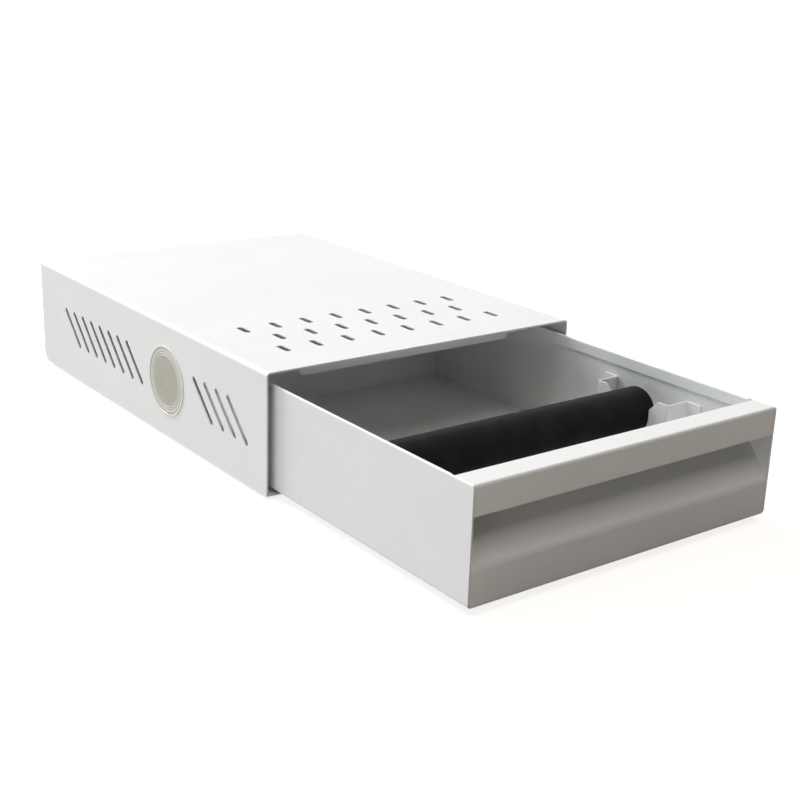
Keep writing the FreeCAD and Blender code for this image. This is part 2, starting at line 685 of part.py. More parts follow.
def make_parts():
    """All sub-parts, case first, then the drawer, then the bar."""
    parts = [make_case_shell(), make_back_panel(), make_drawer_stop()]
    ends = (
        ("front", f"{CASE_FRONT} + foot_margin"),
        ("rear", f"{CASE_FRONT} + case_depth - foot_margin"),
    )
    for side, sign, rotation in SIDES:
        parts.append(make_badge(side, sign, rotation))
        parts.append(make_glide(side, sign))
        parts.append(make_guide(side, sign, rotation))
        parts.append(make_bumper(side, sign))
        for end, along in ends:
            parts.append(make_foot(end, along, side, sign))
    parts += [make_drawer_tray(), make_drawer_back(), make_drawer_front()]
    for side, sign, rotation in SIDES:
        parts.append(make_cradle(side, sign, rotation))
    parts += [make_bar_sleeve(), make_bar_core()]
    parts.append(make_bar_plug("left", "-", ALONG_MINUS_X))
    parts.append(make_bar_plug("right", "", ALONG_X))
    return parts


parts = make_parts()
doc.recompute()
for item in doc.Objects:
    if "Invalid" in item.State or "Error" in item.State:
        raise RuntimeError(f"{item.Label} failed: {item.State}")
for part in parts:
    if part.Shape.isNull() or not part.Shape.isValid() or len(part.Shape.Solids) != 1:
        raise RuntimeError(f"{part.Label} is not one valid solid")
os.makedirs("parts", exist_ok=True)
for part in parts:
    part.Shape.exportStep(f"parts/{part.Label}.step")
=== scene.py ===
"""Looks of a coffee knock-out drawer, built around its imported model.

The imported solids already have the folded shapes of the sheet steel, the bar and the small parts. Each
sub-assembly here takes softened copies of its solids, adds the marks that making leaves on them and gives
every piece its finish. A plain pale floor, soft lamps and a camera complete the scene.
"""

from __future__ import annotations

import logging
import math
from dataclasses import dataclass, field
from enum import Enum

import bmesh
import bpy
from mathutils import Matrix, Vector

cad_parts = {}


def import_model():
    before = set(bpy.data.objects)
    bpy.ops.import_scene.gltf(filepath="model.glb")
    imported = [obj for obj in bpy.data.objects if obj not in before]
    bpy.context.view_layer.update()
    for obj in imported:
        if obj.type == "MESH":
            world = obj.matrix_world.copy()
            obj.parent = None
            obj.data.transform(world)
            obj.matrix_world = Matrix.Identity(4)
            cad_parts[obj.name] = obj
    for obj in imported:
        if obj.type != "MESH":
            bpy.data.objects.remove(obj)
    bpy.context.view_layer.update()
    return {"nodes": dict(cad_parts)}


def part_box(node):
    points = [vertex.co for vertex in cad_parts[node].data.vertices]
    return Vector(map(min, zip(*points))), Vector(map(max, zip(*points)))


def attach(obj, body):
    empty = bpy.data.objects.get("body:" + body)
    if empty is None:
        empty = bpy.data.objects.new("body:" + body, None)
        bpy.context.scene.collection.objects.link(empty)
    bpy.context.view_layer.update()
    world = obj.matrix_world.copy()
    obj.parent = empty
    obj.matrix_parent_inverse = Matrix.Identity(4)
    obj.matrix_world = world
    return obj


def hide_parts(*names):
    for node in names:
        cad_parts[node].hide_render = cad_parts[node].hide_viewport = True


LOG = logging.getLogger("knock_drawer")
MM = 0.001
UP = Vector((0.0, 0.0, 1.0))
SIDES = (("left", Vector((-1.0, 0.0, 0.0))), ("right", Vector((1.0, 0.0, 0.0))))
SMOOTH_ANGLE = math.radians(40)
Point = tuple[float, float]
Colour = tuple[float, float, float, float]


class Body(Enum):
    """The rigid bodies that pieces ride on."""

    CASE = "case"
    DRAWER = "drawer"
    BAR = "bar"


class Slot(Enum):
    """Names of material slots."""

    CASE_COAT = "case_coat"
    DRAWER_COAT = "drawer_coat"
    BADGE = "badge_grey"
    NYLON = "glide_nylon"
    FOOT = "foot_rubber"
    BAR = "bar_rubber"
    STEEL = "core_steel"
    PLUG = "plug_plastic"


class Value:
    """A number socket that shader maths can be written with."""

    def __init__(self, tree: Shader, socket: bpy.types.NodeSocket) -> None:
        """Wrap a socket of a shader tree."""
        self.tree = tree
        self.socket = socket

    def _math(self, operation: str, first: object, second: object) -> Value:
        """Add a Math node on two numbers or values."""
        return self.tree.node("ShaderNodeMath", {"operation": operation}, {0: first, 1: second})

    def __add__(self, other: object) -> Value:
        """Sum."""
        return self._math("ADD", self, other)

    __radd__ = __add__

    def __sub__(self, other: object) -> Value:
        """Difference."""
        return self._math("SUBTRACT", self, other)

    def __rsub__(self, other: object) -> Value:
        """Difference from a number."""
        return self._math("SUBTRACT", other, self)

    def __mul__(self, other: object) -> Value:
        """Product."""
        return self._math("MULTIPLY", self, other)

    __rmul__ = __mul__

    def ramp(self, low: float, high: float) -> Value:
        """Smooth step from zero at low to one at high."""
        limits = {"Value": self, "From Min": low, "From Max": high}
        return self.tree.node("ShaderNodeMapRange", {"interpolation_type": "SMOOTHSTEP"}, limits)


class Shader:
    """A material's node tree, with one Principled shader."""

    def __init__(self, name: str) -> None:
        """Make an empty material.

        Args:
            name: The material's name.
        """
        self.material = bpy.data.materials.new(name)
        self.material.use_nodes = True
        self.nodes = self.material.node_tree.nodes
        self.links = self.material.node_tree.links
        self.principled = self.nodes["Principled BSDF"]

    def node(
        self,
        kind: str,
        settings: dict[str, object] | None = None,
        inputs: dict[object, object] | None = None,
        output: object = 0,
    ) -> Value:
        """Add one node.

        Args:
            kind: The node's type.
            settings: Attributes of the node, set before its sockets.
            inputs: Values or links of its sockets, by name or number.
            output: The output to hand back, by name or number.

        Returns:
            The chosen output.
        """
        item = self.nodes.new(kind)
        for name, setting in (settings or {}).items():
            setattr(item, name, setting)
        for key, value in (inputs or {}).items():
            self.feed(item.inputs[key], value)
        return Value(self, item.outputs[output])

    def feed(self, socket: bpy.types.NodeSocket, value: object) -> None:
        """Link a value to a socket, or set the socket's own number or colour.

        Args:
            socket: The input that is fed.
            value: A Value to link, or a plain number, vector or colour.
        """
        if isinstance(value, Value):
            self.links.new(value.socket, socket)
        else:
            socket.default_value = value

    def set(self, **inputs: object) -> None:
        """Feed sockets of the Principled shader; an underscore in a name stands for a space."""
        for name, value in inputs.items():
            self.feed(self.principled.inputs[name.replace("_", " ")], value)

    def position(self) -> Value:
        """Object coordinates, in metres."""
        return self.node("ShaderNodeTexCoord", output="Object")

    def stretched(self, where: Value, scale: tuple[float, float, float]) -> Value:
        """Coordinates scaled along each axis."""
        return self.node("ShaderNodeMapping", None, {"Vector": where, "Scale": scale})

    def vector(self, operation: str, *inputs: object, output: object = 0) -> Value:
        """Add a Vector Math node on one or two vectors."""
        return self.node("ShaderNodeVectorMath", {"operation": operation}, dict(enumerate(inputs)), output)

    def noise(self, where: Value, scale: float, detail: float = 2.0, roughness: float = 0.5) -> Value:
        """Noise from zero to one, with scale in features per metre."""
        inputs = {"Vector": where, "Scale": scale, "Detail": detail, "Roughness": roughness}
        return self.node("ShaderNodeTexNoise", {"noise_dimensions": "3D"}, inputs)

    def cells(self, where: Value, scale: float) -> Value:
        """Distance to the nearest of scattered points."""
        return self.node("ShaderNodeTexVoronoi", {"feature": "F1"}, {"Vector": where, "Scale": scale})

    def mix(self, share: Value, first: Colour | Value, second: Colour) -> Value:
        """Blend two colours by a share from zero to one."""
        inputs = {"Factor": share, 6: first, 7: second}
        return self.node("ShaderNodeMix", {"data_type": "RGBA"}, inputs, output=2)

    def bump(self, height: Value, distance: float, strength: float) -> None:
        """Raise the surface's shading normal by a height field, in metres."""
        inputs = {"Height": height, "Distance": distance, "Strength": strength}
        self.set(Normal=self.node("ShaderNodeBump", None, inputs, "Normal"))


def rgba(red: float, green: float, blue: float) -> Colour:
    """A colour with full alpha."""
    return (red, green, blue, 1.0)


def shown_rays(tree: bpy.types.NodeTree) -> bpy.types.NodeSocket:
    """Tell the rays that show a backdrop from those that only carry its light.

    Args:
        tree: The node tree of the backdrop's material or of the world.

    Returns:
        An output that is one for camera, glossy and transmission rays, otherwise zero.
    """
    path = tree.nodes.new("ShaderNodeLightPath")
    shown = path.outputs["Is Camera Ray"]
    for ray in ("Is Glossy Ray", "Is Transmission Ray"):
        either = tree.nodes.new("ShaderNodeMath")
        either.operation = "MAXIMUM"
        tree.links.new(shown, either.inputs[0])
        tree.links.new(path.outputs[ray], either.inputs[1])
        shown = either.outputs[0]
    return shown


@dataclass(frozen=True)
class PowderCoat:
    """Satin powder coat on sheet steel: fine orange peel and faint cloudiness."""

    name: str
    colour: Colour = rgba(0.81, 0.815, 0.81)
    cloudy: Colour = rgba(0.785, 0.792, 0.788)
    cloud_scale: float = 14.0
    cloud_limits: Point = (0.35, 0.7)
    cloud_gloss: float = 0.04
    peel_scale: float = 900.0
    peel_share: float = 0.75
    grain_scale: float = 3200.0
    grain_dulling: float = 0.08
    roughness: float = 0.42
    specular: float = 0.42
    relief: float = 0.06 * MM
    relief_strength: float = 0.6

    def material(self) -> bpy.types.Material:
        """Build the material.

        Returns:
            The material.
        """
        shader = Shader(self.name)
        where = shader.position()
        clouds = shader.noise(where, self.cloud_scale, detail=3.0)
        peel = shader.noise(where, self.peel_scale, detail=1.5)
        grain = shader.noise(where, self.grain_scale, detail=1.0)
        shader.set(
            Base_Color=shader.mix(clouds.ramp(*self.cloud_limits), self.colour, self.cloudy),
            Roughness=self.roughness + self.grain_dulling * grain - self.cloud_gloss * clouds,
            Specular_IOR_Level=self.specular,
        )
        height = self.peel_share * peel + (1.0 - self.peel_share) * grain
        shader.bump(height, self.relief, self.relief_strength)
        return shader.material


@dataclass(frozen=True)
class BlackRubber:
    """Moulded black rubber with a satin skin and a trace of bloom."""

    name: str
    colour: Colour = rgba(0.007, 0.007, 0.0072)
    bloom: Colour = rgba(0.0125, 0.013, 0.013)
    haze_scale: float = 60.0
    haze_limits: Point = (0.4, 0.75)
    haze_dulling: float = 0.14
    grain_scale: float = 2600.0
    grain_dulling: float = 0.06
    roughness: float = 0.4
    specular: float = 0.055
    relief: float = 0.05 * MM
    relief_strength: float = 0.5

    def material(self) -> bpy.types.Material:
        """Build the material.

        Returns:
            The material.
        """
        shader = Shader(self.name)
        where = shader.position()
        haze = shader.noise(where, self.haze_scale, detail=4.0, roughness=0.6)
        grain = shader.noise(where, self.grain_scale, detail=2.0)
        shader.set(
            Base_Color=shader.mix(haze.ramp(*self.haze_limits), self.colour, self.bloom),
            Roughness=self.roughness + self.haze_dulling * haze + self.grain_dulling * grain,
            Specular_IOR_Level=self.specular,
        )
        shader.bump(grain, self.relief, self.relief_strength)
        return shader.material


@dataclass(frozen=True)
class Nylon:
    """Milky natural nylon with fine scuffs along its length."""

    name: str
    colour: Colour = rgba(0.70, 0.70, 0.66)
    scuffed: Colour = rgba(0.62, 0.62, 0.58)
    stretch: tuple[float, float, float] = (1.0, 0.03, 1.0)
    scuff_scale: float = 1500.0
    scuff_limits: Point = (0.5, 0.8)
    scuff_dulling: float = 0.2
    roughness: float = 0.42
    relief: float = 0.04 * MM
    relief_strength: float = 0.5

    def material(self) -> bpy.types.Material:
        """Build the material.

        Returns:
            The material.
        """
        shader = Shader(self.name)
        where = shader.stretched(shader.position(), self.stretch)
        scuffs = shader.noise(where, self.scuff_scale, detail=3.0)
        shader.set(
            Base_Color=shader.mix(scuffs.ramp(*self.scuff_limits), self.colour, self.scuffed),
            Roughness=self.roughness + self.scuff_dulling * scuffs,
        )
        shader.bump(scuffs, self.relief, self.relief_strength)
        return shader.material


@dataclass(frozen=True)
class DrawnSteel:
    """Drawn steel tube with fine lines along it."""

    name: str
    colour: Colour = rgba(0.56, 0.56, 0.57)
    dark: Colour = rgba(0.40, 0.40, 0.41)
    stretch: tuple[float, float, float] = (0.02, 1.0, 1.0)
    line_scale: float = 2400.0
    line_limits: Point = (0.4, 0.7)
    line_dulling: float = 0.22
    roughness: float = 0.24
    relief: float = 0.03 * MM
    relief_strength: float = 0.4

    def material(self) -> bpy.types.Material:
        """Build the material.

        Returns:
            The material.
        """
        shader = Shader(self.name)
        where = shader.stretched(shader.position(), self.stretch)
        lines = shader.noise(where, self.line_scale, detail=3.0)
        shader.set(
            Base_Color=shader.mix(lines.ramp(*self.line_limits), self.colour, self.dark),
            Roughness=self.roughness + self.line_dulling * lines,
            Metallic=1.0,
        )
        shader.bump(lines, self.relief, self.relief_strength)
        return shader.material


@dataclass(frozen=True)
class MouldedPlastic:
    """Black moulded plastic with a fine spark-eroded grain."""

    name: str
    colour: Colour = rgba(0.02, 0.02, 0.021)
    worn: Colour = rgba(0.035, 0.035, 0.036)
    haze_scale: float = 120.0
    haze_limits: Point = (0.4, 0.7)
    haze_dulling: float = 0.15
    grain_scale: float = 1800.0
    roughness: float = 0.4
    relief: float = 0.05 * MM
    relief_strength: float = 0.6

    def material(self) -> bpy.types.Material:
        """Build the material.

        Returns:
            The material.
        """
        shader = Shader(self.name)
        where = shader.position()
        grain = shader.cells(where, self.grain_scale)
        haze = shader.noise(where, self.haze_scale, detail=3.0)
        shader.set(
            Base_Color=shader.mix(haze.ramp(*self.haze_limits), self.colour, self.worn),
            Roughness=self.roughness + self.haze_dulling * haze,
        )
        shader.bump(grain, self.relief, self.relief_strength)
        return shader.material


@dataclass(frozen=True)
class BadgeMetal:
    """Warm grey badge metal, spun about its centre."""

    name: str
    colour: Colour = rgba(0.32, 0.31, 0.265)
    light: Colour = rgba(0.40, 0.39, 0.345)
    polished: Colour = rgba(0.66, 0.655, 0.62)
    blur: float = 0.12 * MM
    ring_scale: float = 4200.0
    ring_share: float = 0.7
    ring_limits: Point = (0.35, 0.7)
    ring_dulling: float = 0.18
    haze_scale: float = 90.0
    polish_share: float = 0.7
    polish_gloss: float = 0.08
    roughness: float = 0.36
    metallic: float = 0.35
    relief: float = 0.03 * MM
    relief_strength: float = 0.5

    def material(self, centre: Vector, bands: list[Point]) -> bpy.types.Material:
        """Build the material.

        Args:
            centre: Middle of the badge's face.
            bands: Inner and outer radius of each raised part, which handling has polished.

        Returns:
            The material, with its rings about that centre.
        """
        shader = Shader(self.name)
        where = shader.position()
        offset = shader.node("ShaderNodeMapping", None, {"Vector": where, "Location": tuple(-centre)})
        flat = shader.vector("MULTIPLY", offset, (0.0, 1.0, 1.0))
        radius = shader.vector("LENGTH", flat, output="Value")
        turning = {"W": radius, "Scale": self.ring_scale}
        rings = shader.node("ShaderNodeTexNoise", {"noise_dimensions": "1D"}, turning)
        haze = shader.noise(where, self.haze_scale, detail=3.0)
        raised = 0.0
        for inner, outer in bands:
            starts = radius.ramp(inner - self.blur, inner + self.blur)
            raised = raised + starts * (1.0 - radius.ramp(outer - self.blur, outer + self.blur))
        shade = (self.ring_share * rings + (1.0 - self.ring_share) * haze).ramp(*self.ring_limits)
        polish = raised * (self.polish_share + (1.0 - self.polish_share) * haze)
        shader.set(
            Base_Color=shader.mix(polish, shader.mix(shade, self.colour, self.light), self.polished),
            Roughness=self.roughness + self.ring_dulling * rings - self.polish_gloss * raised,
            Metallic=self.metallic,
        )
        shader.bump(rings, self.relief, self.relief_strength)
        return shader.material


@dataclass(frozen=True)
class PaleFloor:
    """Pale floor that the camera sees as white and that keeps the object's shadow, with a painted shade
    under the case.
    """

    name: str
    colour: Colour = rgba(0.38, 0.335, 0.29)
    near_glow: float = 0.84
    far_glow: float = 1.0
    glow_limits: Point = (0.6, 1.8)
    painted_shade_share: float = 0.94
    shade_edge_fade: float = 14.0 * MM

    def material(self, covered: str) -> bpy.types.Material:
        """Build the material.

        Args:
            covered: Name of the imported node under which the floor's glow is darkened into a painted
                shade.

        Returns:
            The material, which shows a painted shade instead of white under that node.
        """
        shader = Shader(self.name)
        shown = Value(shader, shown_rays(shader.material.node_tree))
        where = shader.position()
        reach = shader.vector("LENGTH", where, output="Value")
        glow = self.near_glow + (self.far_glow - self.near_glow) * reach.ramp(*self.glow_limits)
        # Painted shade: under the case the floor's white glow is darkened, with a soft edge at the case's
        # outline.
        low, high = (Vector(corner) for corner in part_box(covered))
        half = (high - low) / 2
        apart = shader.vector("ABSOLUTE", shader.vector("SUBTRACT", where, tuple((low + high) / 2)))
        across, along = (
            shader.node("ShaderNodeSeparateXYZ", None, {0: apart}, axis).ramp(edge, edge - self.shade_edge_fade)
            for axis, edge in (("X", half.x), ("Y", half.y))
        )
        shader.set(
            Base_Color=self.colour,
            Roughness=1.0,
            Specular_IOR_Level=0.0,
            Emission_Color=glow * (1.0 - self.painted_shade_share * across * along) * shown,
            Emission_Strength=1.0,
        )
        return shader.material


def link(piece: bpy.types.Object) -> bpy.types.Object:
    """Put a new object into the scene."""
    bpy.context.scene.collection.objects.link(piece)
    return piece


def dress(piece: bpy.types.Object, material: bpy.types.Material) -> None:
    """Give an object one material all over."""
    piece.data.materials.clear()
    piece.data.materials.append(material)


def flatten(piece: bpy.types.Object) -> None:
    """Turn an object's modifiers into plain mesh.

    Args:
        piece: The object, which gets the new mesh.
    """
    graph = bpy.context.evaluated_depsgraph_get()
    mesh = bpy.data.meshes.new_from_object(piece.evaluated_get(graph))
    piece.modifiers.clear()
    old = piece.data
    piece.data = mesh
    bpy.data.meshes.remove(old)


def settle(piece: bpy.types.Object, body: Body, slot: Slot, *nodes: str) -> None:
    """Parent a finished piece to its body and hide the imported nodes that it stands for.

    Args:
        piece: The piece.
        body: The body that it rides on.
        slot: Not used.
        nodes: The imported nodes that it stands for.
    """
    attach(piece, body.value)
    if nodes:
        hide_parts(*nodes)
    LOG.info("%s rides on %s", piece.name, body.value)


def middle_of(node: str) -> Vector:
    """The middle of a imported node's box."""
    low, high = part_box(node)
    return (Vector(low) + Vector(high)) / 2


def arc(centre: Point, radius: float, start: float, stop: float, steps: int = 4) -> list[Point]:
    """Points along an arc in a profile.

    Args:
        centre: Middle of the arc.
        radius: Its radius.
        start: First angle, in degrees from the profile's outward direction.
        stop: Last angle, in degrees.
        steps: Straight steps along the arc.

    Returns:
        The points, both ends included.
    """
    turns = [math.radians(start + (stop - start) * step / steps) for step in range(steps + 1)]
    return [(centre[0] + radius * math.cos(turn), centre[1] + radius * math.sin(turn)) for turn in turns]


def turned(name: str, profile: list[Point], base: Vector, axis: Vector, steps: int) -> bpy.types.Object:
    """A turned or moulded round piece.

    Args:
        name: Name of the piece.
        profile: Pairs of radius and height along the axis; a ring's profile comes back to its start.
        base: Point that heights are measured from.
        axis: Direction in which heights are measured.
        steps: Flats around the piece.

    Returns:
        The piece, in the scene.
    """
    work = bmesh.new()
    turn = axis.to_track_quat("Z", "Y").to_matrix()
    is_ring = all(radius > 0.0 for radius, _ in profile)
    loops: list[list[bmesh.types.BMVert]] = []
    for radius, height in profile:
        count = steps if radius > 0.0 else 1
        angles = [2 * math.pi * step / count for step in range(count)]
        places = [Vector((radius * math.cos(angle), radius * math.sin(angle), height)) for angle in angles]
        loops.append([work.verts.new(base + turn @ place) for place in places])
    followers = loops[1:] + loops[:1] if is_ring else loops[1:]
    for lower, upper in zip(loops, followers):
        for step in range(steps):
            corners = [
                lower[step % len(lower)],
                lower[(step + 1) % len(lower)],
                upper[(step + 1) % len(upper)],
                upper[step % len(upper)],
            ]
            work.faces.new(list(dict.fromkeys(corners)))
    bmesh.ops.recalc_face_normals(work, faces=work.faces)
    mesh = bpy.data.meshes.new(name)
    work.to_mesh(mesh)
    work.free()
    mesh.shade_smooth()
    mesh.set_sharp_from_angle(angle=SMOOTH_ANGLE)
    return link(bpy.data.objects.new(name, mesh))


@dataclass
class Repeater:
    """Geometry nodes that set copies of a unit in a row, each one turned a step further."""

    tree: bpy.types.NodeTree = field(init=False)
    names: dict[str, str] = field(init=False, default_factory=dict)

    def __post_init__(self) -> None:
        """Build the tree with its named inputs."""
        self.tree = bpy.data.node_groups.new("row_of_units", "GeometryNodeTree")
        kinds = {
            "Unit": "NodeSocketObject",
            "Count": "NodeSocketInt",
            "Start": "NodeSocketVector",
            "Step": "NodeSocketVector",
            "Turn": "NodeSocketVector",
            "Finish": "NodeSocketMaterial",
        }
        for name, kind in kinds.items():
            socket = self.tree.interface.new_socket(name=name, in_out="INPUT", socket_type=kind)
            self.names[name] = socket.identifier
        self.tree.interface.new_socket(name="Geometry", in_out="OUTPUT", socket_type="NodeSocketGeometry")
        given = self.tree.nodes.new("NodeGroupInput").outputs
        row = self.add("GeometryNodeMeshLine", {
            "Count": given["Count"], "Start Location": given["Start"], "Offset": given["Step"],
        })
        unit = self.add("GeometryNodeObjectInfo", {"Object": given["Unit"]})
        number = self.add("GeometryNodeInputIndex", {})
        turn = self.add("ShaderNodeVectorMath", {0: given["Turn"], "Scale": number.outputs[0]}, "SCALE")
        copies = self.add("GeometryNodeInstanceOnPoints", {
            "Points": row.outputs[0], "Instance": unit.outputs["Geometry"], "Rotation": turn.outputs[0],
        })
        solid = self.add("GeometryNodeRealizeInstances", {"Geometry": copies.outputs[0]})
        finish = self.add("GeometryNodeSetMaterial", {
            "Geometry": solid.outputs[0], "Material": given["Finish"],
        })
        result = self.tree.nodes.new("NodeGroupOutput")
        self.tree.links.new(finish.outputs[0], result.inputs[0])

    def add(
        self, kind: str, links: dict[object, bpy.types.NodeSocket], operation: str = ""
    ) -> bpy.types.Node:
        """Add a node and link its inputs.

        Args:
            kind: The node's type.
            links: The outputs that feed its inputs, by the inputs' names or numbers.
            operation: What the node does, for a maths node.

        Returns:
            The node.
        """
        node = self.tree.nodes.new(kind)
        if operation:
            node.operation = operation
        for key, socket in links.items():
            self.tree.links.new(socket, node.inputs[key])
        return node

    def row(
        self, name: str, unit: bpy.types.Object, finish: bpy.types.Material, **inputs: object
    ) -> bpy.types.Object:
        """Make one row as plain mesh, and remove the unit.

        Args:
            name: Name of the piece.
            unit: The object that repeats, modelled about the origin.
            finish: Material of the copies.
            inputs: Count, Start, Step and Turn of the row.

        Returns:
            The piece, in the scene.
        """
        piece = link(bpy.data.objects.new(name, bpy.data.meshes.new(name)))
        modifier = piece.modifiers.new("row", "NODES")
        modifier.node_group = self.tree
        for key, value in {"Unit": unit, "Finish": finish, **inputs}.items():
            modifier[self.names[key]] = value
        flatten(piece)
        bpy.data.objects.remove(unit)
        return piece


@dataclass
class SubAssembly:
    """What the case, the drawer and the bar share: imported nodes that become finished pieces.

    The weld profile is in shares of a weld mark's radius and height.
    """

    nodes: dict[str, bpy.types.Object]
    repeater: Repeater
    edge_round: float = 0.22 * MM
    edge_angle: float = math.radians(35)
    flat_angle: float = math.radians(0.4)
    merge_reach: float = 0.002 * MM
    seam_reach: float = 4.0 * MM
    weld_steps: int = 14
    weld_profile: tuple[Point, ...] = (
        (0.0, 0.25), (0.55, 0.3), (0.72, 1.0), (0.85, 0.9), (1.0, -0.5), (0.0, -0.5),
    )

    def softened(self, node: str, spread: Vector) -> bpy.types.Object:
        """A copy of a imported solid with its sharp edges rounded, as a coat or a mould leaves them.

        Args:
            node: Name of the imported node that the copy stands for.
            spread: How far its ends grow sideways and its lower edge downwards, to close a welded seam.

        Returns:
            The copy, in the scene.
        """
        mesh = self.nodes[node].data.copy()
        mesh.name = f"{node}_skin"
        work = bmesh.new()
        work.from_mesh(mesh)
        bmesh.ops.remove_doubles(work, verts=work.verts, dist=self.merge_reach)
        bmesh.ops.dissolve_limit(
            work, angle_limit=self.flat_angle, verts=work.verts, edges=work.edges, delimit={"NORMAL"}
        )
        if spread.length:
            low, high = (Vector(corner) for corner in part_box(node))
            for vertex in work.verts:
                if vertex.co.z < low.z + self.seam_reach:
                    vertex.co.z -= spread.z
                if high.x - abs(vertex.co.x) < self.seam_reach:
                    vertex.co.x += math.copysign(spread.x, vertex.co.x)
        work.to_mesh(mesh)
        work.free()
        mesh.shade_smooth()
        piece = link(bpy.data.objects.new(f"{node}_skin", mesh))
        bevel = piece.modifiers.new("edge", "BEVEL")
        bevel.width = self.edge_round
        bevel.segments = 2
        bevel.limit_method = "ANGLE"
        bevel.angle_limit = self.edge_angle
        bevel.miter_outer = "MITER_ARC"
        piece.modifiers.new("weld", "WELD").merge_threshold = self.merge_reach
        piece.modifiers.new("normals", "WEIGHTED_NORMAL").keep_sharp = True
        flatten(piece)
        return piece

    def skin(
        self, body: Body, slot: Slot, finish: bpy.types.Material, *nodes: str, spread: Vector = Vector()
    ) -> None:
        """Give each of several nodes a softened copy in one finish.

        Args:
            body: The body that the copies ride on.
            slot: Their material slot.
            finish: Their material.
            nodes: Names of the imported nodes.
            spread: How far each copy grows to close a welded seam.
        """
        for node in nodes:
            piece = self.softened(node, spread)
            dress(piece, finish)
            settle(piece, body, slot, node)

    def weld_spot(self, radius: float, height: float) -> bpy.types.Object:
        """A unit of the weld rows: the shallow ring that an electrode leaves under the coat, facing +Z."""
        profile = [(across * radius, up * height) for across, up in self.weld_profile]
        return turned("weld_spot", profile, Vector(), UP, self.weld_steps)


